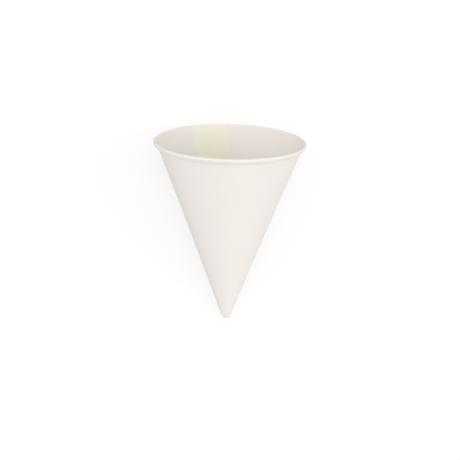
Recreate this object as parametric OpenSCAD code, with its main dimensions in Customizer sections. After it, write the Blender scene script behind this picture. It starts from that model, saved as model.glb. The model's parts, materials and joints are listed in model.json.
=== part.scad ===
// Cone paper cup. One sheet of paper is wound into a cone, lapped and glued down one
// side, rolled outward round the mouth and pressed shut at the tip.
// The cup is drawn upright about Z with its tip at the origin, and is then laid on its
// side as it comes to rest on a table: the mouth faces +Y, the tip points to -Y and the
// glued lap, which is the heavy side, lies underneath on a small flat of the rim.
// Lengths are in millimetres and angles in degrees.

/* [Cup] */
// Diameter over the rolled rim
rim_d = 73; // [60:0.5:90]
// Height from the tip to the top of the rim
cup_h = 89.5; // [75:0.5:110]

/* [Paper] */
// Thickness of the paper
paper_t = 0.2; // [0.15:0.01:0.3]
// Width of the glued lap from one cut edge of the sheet to the other
lap_w = 18; // [10:0.5:22]

/* [Rim] */
// Outside diameter of the rolled edge
roll_d = 1.5; // [1.4:0.1:3]
// Clearance between the cut end of the roll and the wall
roll_gap = 0.1; // [0.05:0.05:0.3]

/* [Tip] */
// Outside radius of the blunt tip
tip_r = 2.2; // [1.5:0.1:3.5]
// Length of side below the outer ply, from its lower edge down to the blunt tip
bare_l = 16; // [10:0.5:22]
// Height of the tip that is pressed solid
solid_h = 3.5; // [2:0.5:8]

/* [Rest] */
// Turn about the cup's axis from the outer cut edge of the lap to the side underneath
rest_turn = 20; // [0:1:45]

/* [Hidden] */
$fn = 96;
roll_steps = 28;
tip_steps = 8;
edge_steps = 48;

// Centres of the rolled edge and of the blunt tip, as [radius, height]
roll_r = roll_d / 2;
roll_c = [rim_d / 2 - roll_r, cup_h - roll_r];
tip_c = [0, tip_r];

// The wall's inner face is the straight line that passes outside the tip and inside the roll
tip_to_roll = roll_c - tip_c;
half_angle = atan2(tip_to_roll[0], tip_to_roll[1]) - asin((tip_r + roll_r) / norm(tip_to_roll));
up_wall = [sin(half_angle), cos(half_angle)];
off_wall = [cos(half_angle), -sin(half_angle)];
wall_l = tip_to_roll * up_wall;

// Length of side from the start of the wall down to the point where its slope meets the axis
apex_l = tip_r / tan(half_angle);

// The roll turns outward and over, until the corner of its cut end is one clearance from the wall
roll_start = 180 - half_angle;
function roll_end(radius) = roll_start - 360 + acos((roll_r - paper_t - roll_gap) / radius);

// Below this length the lap reaches far enough round to count as a whole inner ply
whole_turn = 120;
shortest_wrap = 4;
wrap_l = max(bare_l + shortest_wrap, lap_w / sin(whole_turn * sin(half_angle)) - apex_l);

// The hollow ends in a round floor that meets the inner ply smoothly
floor_r = (tip_r - paper_t + (solid_h - tip_r) * sin(half_angle)) / (1 - sin(half_angle));
floor_c = [0, solid_h + floor_r];

// The lap is pressed flat, so half of its extra ply shows inside and half outside
lap_share = 0.5;
lap_step = lap_share * paper_t / cos(half_angle);
lap_fade = 80;

// At rest the cup lies on its tip and on the doubled roll, which is pressed flat down to one ply
rest_r = roll_r - paper_t;
rest_lean = atan2(tip_to_roll[0], tip_to_roll[1]) - asin((tip_r - rest_r) / norm(tip_to_roll));
rest_lift = roll_c * [cos(rest_lean), -sin(rest_lean)] + rest_r;
rest_front = roll_c * [sin(rest_lean), cos(rest_lean)] + roll_r + paper_t;
rest_back = tip_r * cos(rest_lean) - tip_r;
rest_middle = (rest_front + rest_back) / 2;

// Point on the section, by its length up the wall and its plies outward from the inner face
function on_wall(length, ply) = tip_c + length * up_wall + (tip_r + ply * paper_t) * off_wall;

// Points of an arc in the section, from one angle to another
function arc(centre, radius, from, to, steps) = [
    for (i = [0:steps])
        let (angle = from + (to - from) * i / steps)
        centre + radius * [cos(angle), sin(angle)]
];

// Outline of rolled paper in the section: along its inner face to the cut end and back outside
function roll_outline(inner, outer) = concat(
    arc(roll_c, inner, roll_start, roll_end(outer), roll_steps),
    arc(roll_c, outer, roll_end(outer), roll_start, roll_steps)
);

// Turn of the lap at a length up the wall: its two cut edges are parallel on the flat sheet
function lap_turn(length) = asin(lap_w / (length + apex_l)) / sin(half_angle);

// Half section of the cup: blunt tip, outer ply, roll, inner face, inner ply and floor
module cup_section() {
    polygon(concat(
        arc(tip_c, tip_r, -90, -half_angle, tip_steps),
        [on_wall(bare_l, 0), on_wall(bare_l, 1)],
        roll_outline(roll_r - paper_t, roll_r),
        [on_wall(wrap_l, 0), on_wall(wrap_l, -1)],
        arc(floor_c, floor_r, -half_angle, -90, tip_steps)
    ));
}

// Half section of the inner end of the sheet: a strip up the wall, then rolled round the outer ply
module inner_end_section(foot) {
    polygon(concat(
        [on_wall(foot, lap_share), on_wall(wall_l - roll_r, lap_share)],
        roll_outline(roll_r - 2 * paper_t, roll_r + paper_t),
        [on_wall(wall_l - roll_d, -lap_share), on_wall(foot, -lap_share)]
    ));
}

// Half section of the outer end of the sheet, from the edge of the outer ply up to the roll
module outer_end_section() {
    foot = bare_l + paper_t;
    top = wall_l - roll_d;
    inner = lap_share / 2;
    polygon([on_wall(foot, inner), on_wall(top, inner), on_wall(top, 1), on_wall(foot, 1)]);
}

// Space between the outer cut edge, at zero turn, and the inner cut edge, which winds away from it
module lap_space(from, to) {
    lengths = [for (i = [0:edge_steps]) from + (to - from) * i / edge_steps];
    corners = [
        for (length = lengths)
            let (
                at = on_wall(length, 0),
                turn = lap_turn(length),
                far = (at[0] + 2 * roll_d) / cos(turn / 2)
            )
            each [[0, 0, at[1]], [far, 0, at[1]], [far * cos(turn), -far * sin(turn), at[1]]]
    ];
    top = 3 * edge_steps;
    sides = [
        for (i = [0:edge_steps - 1], j = [0:2])
            let (a = 3 * i + j, b = 3 * i + (j + 1) % 3)
            each [[a, b, b + 3], [a, b + 3, a + 3]]
    ];
    polyhedron(points = corners, faces = concat([[0, 2, 1], [top, top + 1, top + 2]], sides));
}

// Inner end of the sheet, a parallel strip that stands in from the wall
module inner_end() {
    foot = wrap_l - shortest_wrap / 2;
    intersection() {
        rotate_extrude()
            inner_end_section(foot);
        lap_space(foot - roll_d, wall_l + roll_d);
    }
}

// Outer end of the sheet, a step that dies away round the cup
module outer_end() {
    translate([lap_step, 0, 0])
        rotate([0, 0, -lap_fade])
        rotate_extrude(angle = lap_fade)
        outer_end_section();
}

// Space below the table, from the bare paper near the tip to beyond the mouth
module under_table() {
    start = on_wall(bare_l / 2, 0) * [sin(rest_lean), cos(rest_lean)];
    translate([-rim_d / 2, start - rest_middle, -roll_d])
        cube([rim_d, 2 * cup_h, roll_d]);
}

// Lays an upright shape on its side, with the mouth towards +Y and the turn given underneath
module laid_down() {
    translate([0, -rest_middle, rest_lift])
        rotate([rest_lean - 90, 0, 0])
        rotate([0, 0, 90 + rest_turn])
        children();
}

module paper_cup() {
    color("linen")
        difference() {
            laid_down() {
                rotate_extrude()
                    cup_section();
                inner_end();
                outer_end();
            }
            under_table();
        }
}

paper_cup();
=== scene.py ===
"""Cone paper cup: one sheet wound into a cone, lapped, rolled at the rim and shut at the tip."""

import json
import math
from collections import namedtuple
from types import SimpleNamespace

import bpy
from bpy.props import FloatProperty, FloatVectorProperty, IntProperty, PointerProperty
from mathutils import Matrix, Vector


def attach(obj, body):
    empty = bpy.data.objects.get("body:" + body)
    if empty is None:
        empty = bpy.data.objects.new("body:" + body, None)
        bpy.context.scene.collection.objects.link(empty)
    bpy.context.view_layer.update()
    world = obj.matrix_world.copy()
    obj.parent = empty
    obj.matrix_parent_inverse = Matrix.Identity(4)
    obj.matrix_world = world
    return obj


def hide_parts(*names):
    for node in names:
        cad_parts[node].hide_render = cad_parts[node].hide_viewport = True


bl_info = {
    "name": "Cone Paper Cup",
    "version": (1, 0, 0),
    "blender": (4, 5, 0),
    "location": "View3D > Sidebar > Paper Cup",
    "description": "Winds a cone paper cup over its packed solid and sets it on a plain stage",
    "category": "Object",
}

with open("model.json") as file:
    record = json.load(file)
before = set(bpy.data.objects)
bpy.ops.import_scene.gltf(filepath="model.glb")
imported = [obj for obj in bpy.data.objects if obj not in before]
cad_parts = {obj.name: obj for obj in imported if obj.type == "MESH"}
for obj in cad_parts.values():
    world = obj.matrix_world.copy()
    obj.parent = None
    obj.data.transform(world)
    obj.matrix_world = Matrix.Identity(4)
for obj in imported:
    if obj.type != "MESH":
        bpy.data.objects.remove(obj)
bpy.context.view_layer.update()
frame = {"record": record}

# A holder's ring is square to the cup, so its axis gives the lean of the lying cup
HOLDER = frame["record"]["mounts"][0]
REST_LEAN = math.atan2(-HOLDER["axis"][2], -HOLDER["axis"][1])

MM = 0.001
QUARTER_TURN = math.radians(90)
CUP = "wound_paper_cup"
TIP = "paper_tip"

# How far inside the lap a point is, kept on the mesh for the paper's tint
LAP_ATTRIBUTE = "lap_inset"
FAR_FROM_LAP = -50 * MM

# The lap counts as a whole inner ply up to where it still reaches this far round, and at least
# this far above the lower edge of the outer ply
WHOLE_TURN = math.radians(120)
SHORTEST_WRAP = 4 * MM

# Share of the roll's radius that the wall takes up where the two meet
WALL_SHARE = 0.25

# Points of the section that lie closer than this are the same
SAME_PLACE = 0.01 * MM

# Edges that are sharper than this stay crisp
CREASE = math.radians(35)

# Unevenness of the soft paper: the rim is slightly oval and three-cornered and sags at one side,
# and the wall has faint ripples and a slight waist, which starts and ends at shares of the height
OVAL, OVAL_PHASE = 0.1 * MM, 0.6
CORNERS, CORNER_PHASE = 0.06 * MM, -1.1
RIPPLE, RIPPLE_COUNT, RIPPLE_TWIST = 0.03 * MM, 7, 5
WAIST, WAIST_STARTS, WAIST_ENDS = 0.33 * MM, (0.08, 0.22), (0.6, 1.05)
SAG, SAG_SIDE, SAG_RISE = 0.33 * MM, math.radians(-123), 8

# A point of the wound sheet: whether it is in the inner end, its length up the wall, and how many
# plies lie between it and the outside of the cup
Spot = namedtuple("Spot", "inner_end length plies_over")


class CupSizes(bpy.types.PropertyGroup):
    """Sizes of the cup, as it is cut, wound and rolled"""

    rim_diameter: FloatProperty(
        name="Rim Diameter", description="Diameter over the rolled rim",
        default=73 * MM, min=60 * MM, max=90 * MM, unit="LENGTH")
    height: FloatProperty(
        name="Height", description="Height from the tip to the top of the rim",
        default=89.5 * MM, min=75 * MM, max=110 * MM, unit="LENGTH")
    paper: FloatProperty(
        name="Paper", description="Thickness of the paper",
        default=0.2 * MM, min=0.15 * MM, max=0.3 * MM, precision=5, unit="LENGTH")
    lap: FloatProperty(
        name="Lap", description="Width of the glued lap between the two cut edges of the sheet",
        default=18 * MM, min=10 * MM, max=22 * MM, unit="LENGTH")
    roll: FloatProperty(
        name="Roll", description="Width of the rolled edge, off the wall",
        default=1.5 * MM, min=1.4 * MM, max=3 * MM, precision=5, unit="LENGTH")
    roll_sweep: FloatProperty(
        name="Roll Sweep",
        description="Turn of the paper from the wall round to the cut end of the roll",
        default=math.radians(300), min=math.radians(240), max=math.radians(310),
        subtype="ANGLE")
    roll_droop: FloatProperty(
        name="Roll Droop", description="Stretch of the roll's lower half down along the wall",
        default=2.3, min=1, max=2.5)
    tip_radius: FloatProperty(
        name="Tip Radius", description="Outside radius of the blunt tip",
        default=2.2 * MM, min=1.5 * MM, max=3.5 * MM, precision=5, unit="LENGTH")
    bare: FloatProperty(
        name="Bare Length",
        description="Length of side below the outer ply, down to the blunt tip",
        default=16 * MM, min=10 * MM, max=22 * MM, unit="LENGTH")
    solid_tip: FloatProperty(
        name="Solid Tip", description="Height of the tip that is pressed solid",
        default=3.5 * MM, min=2 * MM, max=8 * MM, precision=5, unit="LENGTH")
    rest_turn: FloatProperty(
        name="Rest Turn",
        description="Turn from the outer cut edge of the lap to the side that lies underneath",
        default=math.radians(20), min=0, max=math.radians(45), subtype="ANGLE")
    columns: IntProperty(
        name="Columns",
        description="Steps of the winding, all round the cup and on through the lap",
        default=260, min=64, max=400)


class PaperLooks(bpy.types.PropertyGroup):
    """Colours and finish of the paper"""

    paper_colour: FloatVectorProperty(
        name="Paper", description="Colour of a single ply",
        default=(0.874, 0.83, 0.79), min=0, max=1, subtype="COLOR")
    shade_colour: FloatVectorProperty(
        name="Cloudiness", description="Colour of the thicker clouds in the paper",
        default=(0.861, 0.814, 0.768), min=0, max=1, subtype="COLOR")
    lap_colour: FloatVectorProperty(
        name="Lap", description="Colour of the two glued plies of the lap",
        default=(0.885, 0.858, 0.725), min=0, max=1, subtype="COLOR")
    roughness: FloatProperty(
        name="Roughness", description="Roughness of the faintly waxy surface",
        default=0.75, min=0, max=1, subtype="FACTOR")


class StageSettings(bpy.types.PropertyGroup):
    """Camera, lamps and floor"""

    distance: FloatProperty(
        name="Camera Distance", description="Distance from the camera to the middle of the cup",
        default=0.662, min=0.2, max=3, unit="LENGTH")
    elevation: FloatProperty(
        name="Camera Elevation", description="Height of the view above the plane of the mouth",
        default=math.radians(17.06), subtype="ANGLE")
    turn: FloatProperty(
        name="Camera Turn",
        description="Turn of the view about the cup's axis, from straight over the resting side",
        default=math.radians(-13), subtype="ANGLE")
    roll: FloatProperty(
        name="Camera Roll", description="Turn of the picture about the line of sight",
        default=math.radians(1.35), subtype="ANGLE")
    lens: FloatProperty(
        name="Lens", description="Focal length in millimetres on a 36 mm sensor",
        default=107.1, min=20, max=300)
    aim: FloatVectorProperty(
        name="Aim", description="Point that the camera looks at, in the upright cup",
        default=(1.016 * MM, 0, 45.27 * MM), size=3, precision=5, unit="LENGTH")
    daylight: FloatProperty(
        name="Daylight", description="Strength of the even light from all round",
        default=0.88, min=0, max=2)
    lamp_size: FloatProperty(
        name="Lamp Size", description="Diameter of each soft lamp",
        default=0.8, min=0.1, max=3, unit="LENGTH")
    front: FloatProperty(
        name="Front Lamp", description="Power of the lamp on the camera's side",
        default=1.75, min=0, max=100, unit="POWER")
    front_from: FloatVectorProperty(
        name="Front Place",
        description="Place of the front lamp about the upright cup: right, behind and above",
        default=(0.0, -1.24, 0.38), size=3, unit="LENGTH")
    left: FloatProperty(
        name="Left Lamp", description="Power of the lamp that looks into the mouth from the left",
        default=2.45, min=0, max=100, unit="POWER")
    left_from: FloatVectorProperty(
        name="Left Place",
        description="Place of the left lamp about the upright cup: right, behind and above",
        default=(-0.95, -0.8, 0.38), size=3, unit="LENGTH")
    right: FloatProperty(
        name="Right Lamp", description="Power of the lamp that lights the right side",
        default=3.2, min=0, max=100, unit="POWER")
    right_from: FloatVectorProperty(
        name="Right Place",
        description="Place of the right lamp about the upright cup: right, behind and above",
        default=(1.22, -0.44, 0.11), size=3, unit="LENGTH")
    floor_colour: FloatVectorProperty(
        name="Floor", description="Colour of the floor",
        default=(0.5, 0.5, 0.5), min=0, max=1, subtype="COLOR")


def smooth(value, low, high):
    """Goes smoothly from 0 at low to 1 at high."""
    share = min(max((value - low) / (high - low), 0.0), 1.0)
    return share * share * (3.0 - 2.0 * share)


def cup_form(sizes):
    """Works out the cup's section, as radius and height in the upright cup, from its sizes."""
    form = SimpleNamespace()
    form.roll_r = sizes.roll / 2
    form.roll_c = Vector((sizes.rim_diameter / 2 - form.roll_r, sizes.height - form.roll_r))
    form.tip_c = Vector((0.0, sizes.tip_radius))

    # The wall's inner face is the straight line that passes outside the tip and inside the roll
    reach = form.roll_c - form.tip_c
    toward_roll = math.atan2(reach.x, reach.y)
    form.half_angle = toward_roll - math.asin((sizes.tip_radius + form.roll_r) / reach.length)
    slope = math.sin(form.half_angle)
    form.up_wall = Vector((slope, math.cos(form.half_angle)))
    form.off_wall = Vector((math.cos(form.half_angle), -slope))
    form.wall_l = reach.dot(form.up_wall)
    form.apex_l = sizes.tip_radius / math.tan(form.half_angle)

    # The tip's inner ply ends at wrap_l, and hides the foot of the sheet's inner end behind it
    whole_l = sizes.lap / math.sin(WHOLE_TURN * slope) - form.apex_l
    form.wrap_l = max(sizes.bare + SHORTEST_WRAP, whole_l)
    form.foot_l = form.wrap_l - SHORTEST_WRAP / 2

    # The hollow ends in a round floor that meets the inner ply smoothly
    rise = (sizes.solid_tip - sizes.tip_radius) * slope
    form.floor_r = (sizes.tip_radius - sizes.paper + rise) / (1 - slope)

    # At rest the cup lies on its tip and on the doubled roll, which is pressed down to one ply
    sine, cosine = math.sin(REST_LEAN), math.cos(REST_LEAN)
    lift = form.roll_c.x * cosine - form.roll_c.y * sine + form.roll_r - sizes.paper
    front = form.roll_c.x * sine + form.roll_c.y * cosine + form.roll_r + sizes.paper
    back = sizes.tip_radius * cosine - sizes.tip_radius
    lean = Matrix.Rotation(REST_LEAN - QUARTER_TURN, 4, "X")
    form.lay_down = Matrix.Translation((0, -(front + back) / 2, lift)) @ lean
    form.turn_under = Matrix.Rotation(QUARTER_TURN + sizes.rest_turn, 4, "Z")
    return form


def on_wall(form, sizes, length, ply):
    """Point of the section, by its length up the wall and its plies off the inner face."""
    off = sizes.tip_radius + ply * sizes.paper
    flat = form.tip_c + length * form.up_wall + off * form.off_wall
    return Vector((flat.x, 0, flat.y))


def from_roll(form, radius, height):
    """Lengths along and off the wall from the roll's centre to a point of the section."""
    place = Vector((radius, height)) - form.roll_c
    return place.dot(form.up_wall), place.dot(form.off_wall)


def clear_of_wall(form, off):
    """Says whether a point, by its length off the wall from the roll's centre, is on the roll."""
    return off > (WALL_SHARE - 1) * form.roll_r


def lap_turn(form, sizes, length):
    """Turn of the lap at a length up the wall: its cut edges are parallel on the flat sheet."""
    return math.asin(sizes.lap / (length + form.apex_l)) / math.sin(form.half_angle)


def add_point(name, at):
    """Starts a section as one vertex, from a small plane merged at its middle, in edit mode."""
    bpy.ops.object.select_all(action="DESELECT")
    bpy.ops.mesh.primitive_plane_add(size=MM, location=at)
    piece = bpy.context.object
    piece.name = piece.data.name = name
    bpy.ops.object.transform_apply(location=True, rotation=True, scale=True)
    bpy.ops.object.mode_set(mode="EDIT")
    bpy.ops.mesh.select_mode(type="VERT")
    bpy.ops.mesh.select_all(action="SELECT")
    bpy.ops.mesh.merge(type="CENTER")
    return piece


def draw_on(step):
    """Extrudes the selected end of a section by a step."""
    bpy.ops.mesh.extrude_vertices_move(TRANSFORM_OT_translate={"value": step})


def pick(piece, chosen):
    """Selects in edit mode only the vertices whose index and place are chosen."""
    bpy.ops.object.mode_set(mode="OBJECT")
    mesh = piece.data
    mesh.polygons.foreach_set("select", [False] * len(mesh.polygons))
    mesh.edges.foreach_set("select", [False] * len(mesh.edges))
    mesh.vertices.foreach_set("select", [bool(chosen(v.index, v.co)) for v in mesh.vertices])
    bpy.ops.object.mode_set(mode="EDIT")
    bpy.ops.mesh.select_mode(type="VERT")


def apply_modifiers(piece):
    """Applies all the modifiers of a piece, in order."""
    bpy.ops.object.mode_set(mode="OBJECT")
    bpy.context.view_layer.objects.active = piece
    for modifier in list(piece.modifiers):
        bpy.ops.object.modifier_apply(modifier=modifier.name)


def give_attribute(piece, values):
    """Keeps on the mesh how far inside the lap each vertex is."""
    attribute = piece.data.attributes.new(LAP_ATTRIBUTE, "FLOAT", "POINT")
    attribute.data.foreach_set("value", values)


def ease_out_of_true(piece, form):
    """Moves the upright cup's points by the small unevenness of soft paper."""
    for vertex in piece.data.vertices:
        at = vertex.co
        azimuth = math.atan2(at.y, at.x)
        share = min(max(at.z / form.roll_c.y, 0.0), 1.0)
        oval = OVAL * math.cos(2 * azimuth + OVAL_PHASE)
        corners = CORNERS * math.cos(3 * azimuth + CORNER_PHASE)
        belly = share * (1 - share) * 4
        ripple = RIPPLE * math.cos(RIPPLE_COUNT * azimuth + RIPPLE_TWIST * share) * belly
        waist = WAIST * smooth(share, *WAIST_STARTS) * (1 - smooth(share, *WAIST_ENDS))
        out = (oval + corners) * share * share + ripple - waist
        grow = 1 + out / max(math.hypot(at.x, at.y), MM)
        sag = SAG * max(math.cos(azimuth - SAG_SIDE), 0) ** 2 * share ** SAG_RISE
        vertex.co = (at.x * grow, at.y * grow, at.z - sag)


def lay_on_side(piece, form):
    """Turns the lap underneath and lays the selected upright piece on its side."""
    piece.matrix_world = form.lay_down @ form.turn_under
    bpy.ops.object.transform_apply(location=True, rotation=True, scale=True)


class CUP_OT_wind_sheet(bpy.types.Operator):
    """Wind the sheet into the wall, its lap and its rolled rim"""

    bl_idname = "paper_cup.wind_sheet"
    bl_label = "Wind Sheet"
    bl_options = {"REGISTER", "UNDO"}

    wall_rows = 52
    roll_steps = 30

    # Turns over which the sheet goes from the lap to the single wall, beyond each cut edge
    hold = math.radians(2)
    outer_fade = math.radians(14)
    inner_fade = math.radians(25)

    # The lap's tint ends on the roll this far beyond its middle, as a share of its radius
    tint_end = 0.2

    # The paper is drawn slightly thin, and pressed plies lie slightly apart, to clear each other
    snug = 0.9
    ply_room = 1.08

    def execute(self, context):
        sizes = context.scene.cup_sizes
        form = cup_form(sizes)
        piece = self.draw_section(sizes, form)
        rows = self.spin_round(piece, sizes, form)
        spots = self.wind(piece, sizes, form, rows)
        ease_out_of_true(piece, form)
        self.lay_and_press(piece, sizes, form, spots)
        self.thicken(piece, sizes)
        return {"FINISHED"}

    def draw_section(self, sizes, form):
        """Draws the wall up from its lower edge, and spins and stretches its top into the roll."""
        low = on_wall(form, sizes, sizes.bare, 0)
        top = on_wall(form, sizes, form.wall_l, 0)
        piece = add_point(CUP, low)
        draw_on(top - low)
        bpy.ops.mesh.select_all(action="SELECT")
        bpy.ops.mesh.subdivide(number_cuts=self.wall_rows - 1)
        pick(piece, lambda index, co: (co - top).length < SAME_PLACE)
        bpy.ops.mesh.spin(
            steps=self.roll_steps, angle=sizes.roll_sweep,
            center=(form.roll_c.x, 0, form.roll_c.y), axis=(0, -1, 0))
        bpy.ops.object.mode_set(mode="OBJECT")
        for vertex in piece.data.vertices:
            along, off = from_roll(form, vertex.co.x, vertex.co.z)
            if along < 0 and clear_of_wall(form, off):
                drop = (sizes.roll_droop - 1) * along * form.up_wall
                vertex.co += Vector((drop.x, 0, drop.y))
        return piece

    def spin_round(self, piece, sizes, form):
        """Spins the section round the axis and on through the lap. Returns its row count."""
        rows = len(piece.data.vertices)
        bpy.ops.object.mode_set(mode="EDIT")
        bpy.ops.mesh.select_all(action="SELECT")
        bpy.ops.mesh.spin(
            steps=sizes.columns, angle=math.tau + lap_turn(form, sizes, form.wall_l),
            center=(0, 0, 0), axis=(0, 0, 1))
        bpy.ops.mesh.select_all(action="SELECT")
        bpy.ops.mesh.normals_make_consistent(inside=False)
        bpy.ops.object.mode_set(mode="OBJECT")
        if len(piece.data.vertices) != rows * (sizes.columns + 1):
            raise RuntimeError("the spun sheet has lost some of its vertices")
        return rows

    def wind(self, piece, sizes, form, rows):
        """Slides the inner cut edge parallel to the outer one and lifts the plies apart."""
        mesh = piece.data
        lap_top = lap_turn(form, sizes, form.wall_l)
        step = (math.tau + lap_top) / sizes.columns
        group = piece.vertex_groups.new(name="ply")
        inset = []
        spots = []
        for vertex in mesh.vertices:
            turn = (vertex.index // rows) * step
            radius = math.hypot(vertex.co.x, vertex.co.y)
            along, off = from_roll(form, radius, vertex.co.z)
            on_roll = along > -SAME_PLACE or clear_of_wall(form, off)
            length = min(max(along + form.wall_l, sizes.bare), form.wall_l)
            lapped = smooth(length, sizes.bare, form.foot_l)
            reach = lap_turn(form, sizes, form.wall_l if on_roll else max(length, form.foot_l))

            # The middle of the sheet is on the wall's inner face in the inner end, half a ply
            # off it in the single wall and a whole ply off it in the outer end
            inner_end = turn > math.tau
            if inner_end:
                past = turn - math.tau
                vertex.co = Matrix.Rotation(past * (1 - reach / lap_top), 3, "Z") @ vertex.co
                across = past * radius * reach / lap_top
                on_top = self.tint_end * form.roll_r - off
                inset.append(FAR_FROM_LAP if on_roll and along < 0 else min(across, on_top))
                ply = 0.0
            elif turn < math.pi:
                edge = reach + self.hold
                inset.append(FAR_FROM_LAP)
                ply = 0.5 + 0.5 * lapped * (1 - smooth(turn, edge, edge + self.outer_fade))
            else:
                edge = math.tau - self.hold
                inset.append((turn - math.tau) * radius)
                ply = 0.5 - 0.5 * lapped * smooth(turn, math.tau - self.inner_fade, edge)
            group.add([vertex.index], ply, "REPLACE")

            # The inner end is under the outer one on the wall, and over it on the roll
            in_lap = inner_end or turn < reach
            spots.append(Spot(inner_end, length, int(in_lap and inner_end != on_roll)))
        give_attribute(piece, inset)
        self.lift_plies(piece, sizes, mesh.vertices[rows * (sizes.columns // 2)])
        return spots

    def lift_plies(self, piece, sizes, outward):
        """Turns the faces outward, judged at one vertex, and moves each ply off the wall."""
        if outward.normal.xy.dot(outward.co.xy) < 0:
            bpy.ops.object.mode_set(mode="EDIT")
            bpy.ops.mesh.select_all(action="SELECT")
            bpy.ops.mesh.flip_normals()
            bpy.ops.object.mode_set(mode="OBJECT")
        lift = piece.modifiers.new("ply_lift", "DISPLACE")
        lift.direction = "NORMAL"
        lift.mid_level = 0
        lift.strength = sizes.paper
        lift.vertex_group = "ply"
        apply_modifiers(piece)
        piece.vertex_groups.clear()

    def lay_and_press(self, piece, sizes, form, spots):
        """Lays the cup down, presses it on the table and cuts off the hidden foot of the lap."""
        lay_on_side(piece, form)
        for level in (0, 1):
            table = (self.ply_room * level + 0.5) * sizes.paper
            pick(piece, lambda index, co: spots[index].plies_over == level and co.z < table)
            if any(v.select for v in piece.data.vertices):
                bpy.ops.transform.resize(value=(1, 1, 0), center_override=(0, 0, table))
        pick(piece, lambda index, co: spots[index].inner_end and spots[index].length < form.foot_l)
        bpy.ops.mesh.delete(type="VERT")
        bpy.ops.object.mode_set(mode="OBJECT")

    def thicken(self, piece, sizes):
        """Gives the sheet the paper's thickness, with square cut edges."""
        solid = piece.modifiers.new("paper", "SOLIDIFY")
        solid.thickness = self.snug * sizes.paper
        solid.offset = 0
        solid.use_even_offset = False
        solid.use_rim = True
        apply_modifiers(piece)
        bpy.ops.object.select_all(action="DESELECT")
        piece.select_set(True)
        bpy.ops.object.shade_smooth_by_angle(angle=CREASE)


class CUP_OT_close_tip(bpy.types.Operator):
    """Close the tip with the inner ply that shows below the outer one"""

    bl_idname = "paper_cup.close_tip"
    bl_label = "Close Tip"
    bl_options = {"REGISTER", "UNDO"}

    steps = 144
    arc_steps = 8
    side_stops = (0.25, 0.5, 0.75, 0.9, 1.0, 1.1)
    merge_within = 0.002 * MM

    # The hidden top of the inner ply is drawn in under the lap, and eases out beyond its edges
    tuck = 0.66
    tuck_hold = math.radians(10)
    tuck_end = math.radians(45)

    def execute(self, context):
        sizes = context.scene.cup_sizes
        form = cup_form(sizes)
        piece = self.draw_section(sizes, form)
        self.spin_round()
        self.tuck_under_lap(piece, sizes, form)
        ease_out_of_true(piece, form)
        give_attribute(piece, [FAR_FROM_LAP] * len(piece.data.vertices))
        lay_on_side(piece, form)
        bpy.ops.object.shade_smooth_by_angle(angle=CREASE)
        return {"FINISHED"}

    def draw_section(self, sizes, form):
        """Draws the blunt tip, the side, the top of the inner ply and the hollow's round floor."""
        piece = add_point(TIP, (0, 0, 0))
        arc = QUARTER_TURN - form.half_angle
        bpy.ops.mesh.spin(
            steps=self.arc_steps, angle=arc, center=(0, 0, sizes.tip_radius), axis=(0, 1, 0))
        at = on_wall(form, sizes, 0, 0)
        stops = [(sizes.bare * share, 0) for share in self.side_stops]
        stops += [(form.foot_l, 0), (form.wrap_l, 0), (form.wrap_l, -1), (form.foot_l, -1)]
        for length, ply in stops:
            to = on_wall(form, sizes, length, ply)
            draw_on(to - at)
            at = to
        floor_c = Vector((0, 0, sizes.solid_tip + form.floor_r))
        to = floor_c + form.floor_r * Vector((form.off_wall.x, 0, form.off_wall.y))
        draw_on(to - at)
        bpy.ops.mesh.spin(steps=self.arc_steps, angle=arc, center=floor_c, axis=(0, -1, 0))
        return piece

    def spin_round(self):
        """Spins the section once round the axis and closes the seam and the poles."""
        bpy.ops.mesh.select_all(action="SELECT")
        bpy.ops.mesh.spin(steps=self.steps, angle=math.tau, center=(0, 0, 0), axis=(0, 0, 1))
        bpy.ops.mesh.select_all(action="SELECT")
        bpy.ops.mesh.remove_doubles(threshold=self.merge_within)
        bpy.ops.mesh.normals_make_consistent(inside=False)
        bpy.ops.object.mode_set(mode="OBJECT")

    def tuck_under_lap(self, piece, sizes, form):
        """Draws the hidden top of the inner ply inward where the lap lies against it."""
        half_lap = lap_turn(form, sizes, form.foot_l) / 2
        for vertex in piece.data.vertices:
            at = vertex.co
            radius = math.hypot(at.x, at.y)
            if radius > sizes.tip_radius:
                length = from_roll(form, radius, at.z)[0] + form.wall_l
                from_middle = abs(-math.atan2(at.y, at.x) % math.tau - half_lap)
                beyond = min(from_middle, math.tau - from_middle) - half_lap
                share = smooth(length, sizes.bare, form.foot_l) * (
                    1 - smooth(beyond, self.tuck_hold, self.tuck_end))
                shrink = 1 - self.tuck * sizes.paper * share / radius
                vertex.co = (at.x * shrink, at.y * shrink, at.z)


class CUP_OT_join_cup(bpy.types.Operator):
    """Join the tip to the wound sheet, so that the cup is one piece"""

    bl_idname = "paper_cup.join_cup"
    bl_label = "Join Cup"
    bl_options = {"REGISTER", "UNDO"}

    def execute(self, context):
        cup = bpy.data.objects[CUP]
        bpy.ops.object.select_all(action="DESELECT")
        bpy.data.objects[TIP].select_set(True)
        cup.select_set(True)
        context.view_layer.objects.active = cup
        bpy.ops.object.join()
        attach(cup, "root")
        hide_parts("paper_cup")
        return {"FINISHED"}


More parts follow.
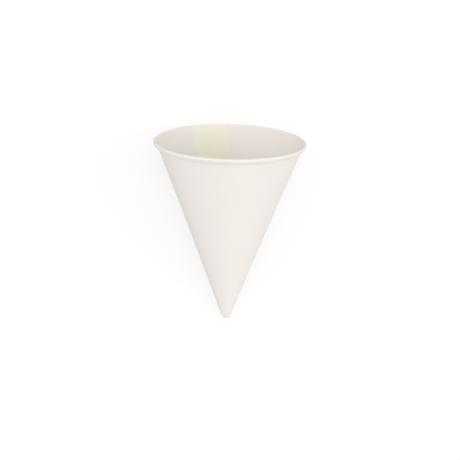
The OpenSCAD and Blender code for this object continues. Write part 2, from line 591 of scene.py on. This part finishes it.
class CUP_OT_finish_paper(bpy.types.Operator):
    """Give the cup its off-white paper"""

    bl_idname = "paper_cup.finish_paper"
    bl_label = "Finish Paper"
    bl_options = {"REGISTER", "UNDO"}

    sheen = 0.12
    tint_edge = 0.15 * MM

    # Scale, detail and roughness of each pattern in the paper, and the span of its usual values
    clouds = (220, 6, 0.7)
    felt = (420, 2, 0.5)
    fibres = (2600, 4, 0.6)
    usual = (0.3, 0.7)
    cloud_share = (0.2, 0.8)
    felt_height = 0.016 * MM
    fibre_height = 0.02 * MM
    fibre_gloss = 0.06

    # Sockets of a colour mix, whose names are shared with its other kinds
    mix_share, mix_first, mix_second, mix_result = 0, 6, 7, 2

    def execute(self, context):
        looks = context.scene.cup_looks
        material = bpy.data.materials.new("off_white_paper")
        material.use_nodes = True
        tree = material.node_tree
        shader = tree.nodes["Principled BSDF"]
        shader.inputs["Specular IOR Level"].default_value = self.sheen
        place = tree.nodes.new("ShaderNodeTexCoord")

        clouds = self.noise(tree, place, *self.clouds)
        cloudy = self.ramp(tree, clouds, self.usual, self.cloud_share)
        paper = self.blend(tree, cloudy, looks.shade_colour)
        paper.node.inputs[self.mix_first].default_value = (*looks.paper_colour, 1)

        inset = tree.nodes.new("ShaderNodeAttribute")
        inset.attribute_name = LAP_ATTRIBUTE
        band = self.ramp(tree, inset.outputs["Fac"], (-self.tint_edge, self.tint_edge), (0, 1))
        colour = self.blend(tree, band, looks.lap_colour)
        tree.links.new(paper, colour.node.inputs[self.mix_first])
        tree.links.new(colour, shader.inputs["Base Color"])

        fibres = self.noise(tree, place, *self.fibres)
        gloss = (looks.roughness - self.fibre_gloss, looks.roughness + self.fibre_gloss)
        rough = self.ramp(tree, fibres, self.usual, gloss)
        tree.links.new(rough, shader.inputs["Roughness"])

        felt = self.noise(tree, place, *self.felt)
        felt_bump = self.bump(tree, felt, self.felt_height)
        fibre_bump = self.bump(tree, fibres, self.fibre_height)
        tree.links.new(felt_bump.outputs["Normal"], fibre_bump.inputs["Normal"])
        tree.links.new(fibre_bump.outputs["Normal"], shader.inputs["Normal"])

        cup = bpy.data.objects[CUP]
        cup.data.materials.clear()
        cup.data.materials.append(material)
        return {"FINISHED"}

    def noise(self, tree, place, scale, detail, roughness):
        """Adds a pattern on Object coordinates."""
        node = tree.nodes.new("ShaderNodeTexNoise")
        node.inputs["Scale"].default_value = scale
        node.inputs["Detail"].default_value = detail
        node.inputs["Roughness"].default_value = roughness
        tree.links.new(place.outputs["Object"], node.inputs["Vector"])
        return node.outputs["Fac"]

    def ramp(self, tree, value, given, wanted):
        """Takes a value smoothly from one range to another."""
        node = tree.nodes.new("ShaderNodeMapRange")
        node.interpolation_type = "SMOOTHSTEP"
        tree.links.new(value, node.inputs["Value"])
        node.inputs["From Min"].default_value, node.inputs["From Max"].default_value = given
        node.inputs["To Min"].default_value, node.inputs["To Max"].default_value = wanted
        return node.outputs["Result"]

    def blend(self, tree, share, colour):
        """Blends a colour by its share over a first one, which is still to be given."""
        node = tree.nodes.new("ShaderNodeMix")
        node.data_type = "RGBA"
        tree.links.new(share, node.inputs[self.mix_share])
        node.inputs[self.mix_second].default_value = (*colour, 1)
        return node.outputs[self.mix_result]

    def bump(self, tree, pattern, height):
        """Raises the surface by a pattern."""
        node = tree.nodes.new("ShaderNodeBump")
        node.inputs["Strength"].default_value = 1.0
        node.inputs["Distance"].default_value = height
        tree.links.new(pattern, node.inputs["Height"])
        return node


class CUP_OT_set_stage(bpy.types.Operator):
    """Set the cup on a plain pale floor under soft light, and place the camera"""

    bl_idname = "paper_cup.set_stage"
    bl_label = "Set Stage"
    bl_options = {"REGISTER", "UNDO"}

    floor_size = 6.0
    sensor = 36
    nearest = 0.01

    # The camera sees the floor as white where it is lit, and slightly grey in the cup's shadow
    seen_floor = 0.3
    seen_glow = 0.69

    def execute(self, context):
        stage = context.scene.cup_stage
        form = cup_form(context.scene.cup_sizes)
        self.lay_floor(stage)
        self.light_world(context.scene, stage)
        view = form.lay_down @ Matrix.Rotation(stage.turn, 4, "Z")
        aim = Vector(stage.aim)
        for side in ("front", "left", "right"):
            at = view @ (aim + Vector(getattr(stage, f"{side}_from")))
            power = getattr(stage, side)
            self.hang_lamp(f"{side}_lamp", power, stage.lamp_size, at, view @ aim)
        self.place_camera(context.scene, stage, view)
        context.scene.view_settings.view_transform = "Standard"
        return {"FINISHED"}

    def seen_directly(self, tree):
        """Share of rays that come from the camera, or from gloss and glass."""
        rays = tree.nodes.new("ShaderNodeLightPath")
        share = rays.outputs["Is Camera Ray"]
        for kind in ("Is Glossy Ray", "Is Transmission Ray"):
            either = tree.nodes.new("ShaderNodeMath")
            either.operation = "MAXIMUM"
            tree.links.new(share, either.inputs[0])
            tree.links.new(rays.outputs[kind], either.inputs[1])
            share = either.outputs[0]
        return share

    def lay_floor(self, stage):
        """Lays a floor that looks white, keeps the cup's shadow and throws back a plain light."""
        bpy.ops.object.select_all(action="DESELECT")
        bpy.ops.mesh.primitive_plane_add(size=self.floor_size, location=(0, 0, 0))
        floor = bpy.context.object
        floor.name = floor.data.name = "floor"
        material = bpy.data.materials.new("pale_floor")
        material.use_nodes = True
        tree = material.node_tree
        tree.nodes.clear()
        out = tree.nodes.new("ShaderNodeOutputMaterial")
        bounce = tree.nodes.new("ShaderNodeBsdfDiffuse")
        bounce.inputs["Color"].default_value = (*stage.floor_colour, 1)
        seen = tree.nodes.new("ShaderNodeBsdfDiffuse")
        seen.inputs["Color"].default_value = (self.seen_floor, self.seen_floor, self.seen_floor, 1)
        glow = tree.nodes.new("ShaderNodeEmission")
        glow.inputs["Strength"].default_value = self.seen_glow
        both = tree.nodes.new("ShaderNodeAddShader")
        tree.links.new(seen.outputs[0], both.inputs[0])
        tree.links.new(glow.outputs[0], both.inputs[1])
        mix = tree.nodes.new("ShaderNodeMixShader")
        tree.links.new(self.seen_directly(tree), mix.inputs[0])
        tree.links.new(bounce.outputs[0], mix.inputs[1])
        tree.links.new(both.outputs[0], mix.inputs[2])
        tree.links.new(mix.outputs[0], out.inputs["Surface"])
        floor.data.materials.append(material)

    def light_world(self, scene, stage):
        """Lights the cup evenly from all round, in front of a white background."""
        world = bpy.data.worlds.new("daylight")
        scene.world = world
        world.use_nodes = True
        tree = world.node_tree
        sky = tree.nodes["Background"]
        sky.inputs["Color"].default_value = (1, 1, 1, 1)
        level = tree.nodes.new("ShaderNodeMapRange")
        tree.links.new(self.seen_directly(tree), level.inputs["Value"])
        level.inputs["To Min"].default_value = stage.daylight
        level.inputs["To Max"].default_value = 1.0
        tree.links.new(level.outputs["Result"], sky.inputs["Strength"])

    def hang_lamp(self, name, power, size, at, toward):
        """Hangs a soft round lamp at a place, turned toward another."""
        lamp = bpy.data.lights.new(name, "AREA")
        lamp.shape = "DISK"
        lamp.size = size
        lamp.energy = power
        holder = bpy.data.objects.new(name, lamp)
        holder.location = at
        holder.rotation_euler = (toward - at).to_track_quat("-Z", "Y").to_euler()
        bpy.context.scene.collection.objects.link(holder)

    def place_camera(self, scene, stage, view):
        """Puts the camera over the lying cup, which then looks upright from slightly above."""
        rise, level = math.sin(stage.elevation), math.cos(stage.elevation)
        back = Vector((0, -level, rise))
        up = Vector((0, rise, level))
        right = Vector((1, 0, 0))
        c, s = math.cos(stage.roll), math.sin(stage.roll)
        right, up = c * right + s * up, c * up - s * right
        eye = view @ (Vector(stage.aim) + stage.distance * back)
        axes = [view.to_3x3() @ axis for axis in (right, up, back)]
        camera = bpy.data.objects.new("camera", bpy.data.cameras.new("camera"))
        camera.matrix_world = Matrix.Translation(eye) @ Matrix(axes).transposed().to_4x4()
        camera.data.lens = stage.lens
        camera.data.sensor_width = self.sensor
        camera.data.sensor_fit = "HORIZONTAL"
        camera.data.clip_start = self.nearest
        scene.collection.objects.link(camera)
        scene.camera = camera


class CUP_PT_sidebar(bpy.types.Panel):
    """Sizes, looks and steps of the cone paper cup"""

    bl_idname = "CUP_PT_sidebar"
    bl_label = "Cone Paper Cup"
    bl_space_type = "VIEW_3D"
    bl_region_type = "UI"
    bl_category = "Paper Cup"

    def draw(self, context):
        scene = context.scene
        for settings in (scene.cup_sizes, scene.cup_looks, scene.cup_stage):
            box = self.layout.box()
            for name in settings.__annotations__:
                box.prop(settings, name)
        for step in STEPS:
            self.layout.operator(step.bl_idname)


GROUPS = (CupSizes, PaperLooks, StageSettings)
STEPS = (
    CUP_OT_wind_sheet, CUP_OT_close_tip, CUP_OT_join_cup, CUP_OT_finish_paper, CUP_OT_set_stage)
CLASSES = (*GROUPS, *STEPS, CUP_PT_sidebar)


def register():
    for cls in CLASSES:
        bpy.utils.register_class(cls)
    bpy.types.Scene.cup_sizes = PointerProperty(type=CupSizes)
    bpy.types.Scene.cup_looks = PointerProperty(type=PaperLooks)
    bpy.types.Scene.cup_stage = PointerProperty(type=StageSettings)


def unregister():
    del bpy.types.Scene.cup_stage
    del bpy.types.Scene.cup_looks
    del bpy.types.Scene.cup_sizes
    for cls in reversed(CLASSES):
        bpy.utils.unregister_class(cls)


def main():
    register()
    bpy.ops.paper_cup.wind_sheet()
    bpy.ops.paper_cup.close_tip()
    bpy.ops.paper_cup.join_cup()
    bpy.ops.paper_cup.finish_paper()
    bpy.ops.paper_cup.set_stage()


if __name__ == "__main__":
    main()
